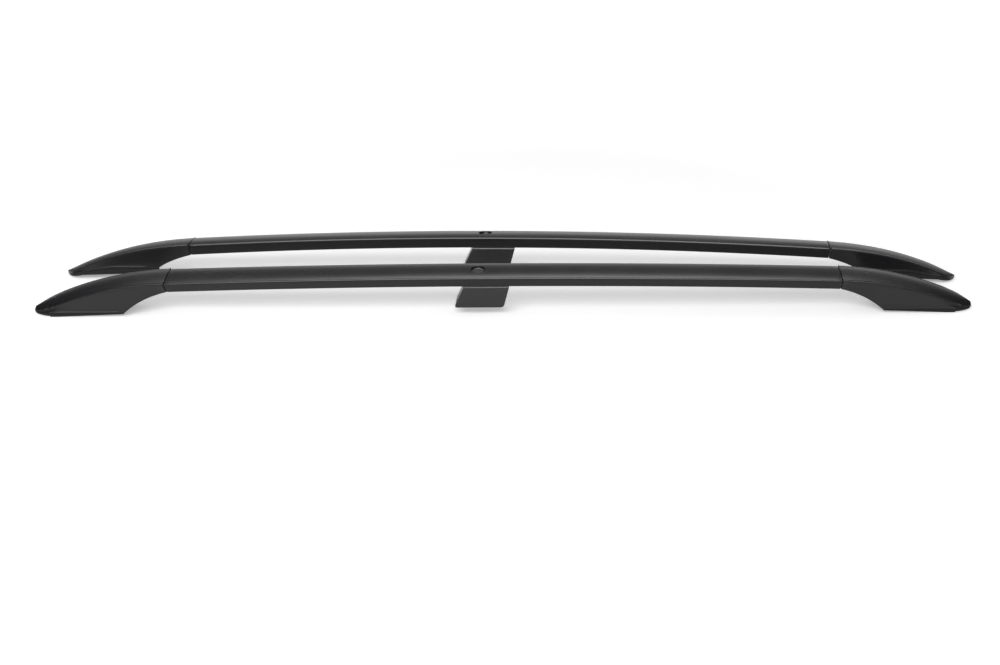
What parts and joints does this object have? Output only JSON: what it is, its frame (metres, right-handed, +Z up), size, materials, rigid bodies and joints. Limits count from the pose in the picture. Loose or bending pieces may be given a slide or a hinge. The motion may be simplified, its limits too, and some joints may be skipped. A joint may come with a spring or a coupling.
{
  "type": "roof side rail pair",
  "caption": "Pair of raised roof side rails: slim arched bars with a crowned top, sloping moulded feet on wedge pads and a leaning middle support block under each bar",
  "frame": {"origin": "on the ground at the middle of the pair, the bottom centre of its box", "axes": "+X along the rails with the front of the car at -X, +Y to the right of the car, +Z up"},
  "size_m": [1.702, 0.233, 0.0841],
  "materials": {
    "bar_coat": "satin black powder coat on an aluminium extrusion",
    "foot_plastic": "black moulded plastic with a fine grain",
    "pad_rubber": "black rubber",
    "bracket_steel": "zinc plated pressed steel",
    "fastener_steel": "zinc plated steel",
    "insert_steel": "yellow zinc plated steel",
    "support_plastic": "black moulded plastic",
    "plug_plastic": "black moulded plastic"
  },
  "bodies": {
    "root": {"left_bar": "bar_coat", "left_front_foot": "foot_plastic", "left_rear_foot": "foot_plastic", "left_front_pad": "pad_rubber", "left_rear_pad": "pad_rubber", "left_front_bracket": "bracket_steel", "left_rear_bracket": "bracket_steel", "left_front_tongue_screws": "fastener_steel", "left_rear_tongue_screws": "fastener_steel", "left_front_cover_screws": "fastener_steel", "left_rear_cover_screws": "fastener_steel", "left_front_inserts": "insert_steel", "left_rear_inserts": "insert_steel", "left_mid_support": "support_plastic", "left_mid_pad": "pad_rubber", "left_mid_bolt": "fastener_steel", "left_mid_washer": "fastener_steel", "left_mid_sleeve": "insert_steel", "left_plug": "plug_plastic", "right_bar": "bar_coat", "right_front_foot": "foot_plastic", "right_rear_foot": "foot_plastic", "right_front_pad": "pad_rubber", "right_rear_pad": "pad_rubber", "right_front_bracket": "bracket_steel", "right_rear_bracket": "bracket_steel", "right_front_tongue_screws": "fastener_steel", "right_rear_tongue_screws": "fastener_steel", "right_front_cover_screws": "fastener_steel", "right_rear_cover_screws": "fastener_steel", "right_front_inserts": "insert_steel", "right_rear_inserts": "insert_steel", "right_mid_support": "support_plastic", "right_mid_pad": "pad_rubber", "right_mid_bolt": "fastener_steel", "right_mid_washer": "fastener_steel", "right_mid_sleeve": "insert_steel", "right_plug": "plug_plastic"}
  },
  "joints": []
}
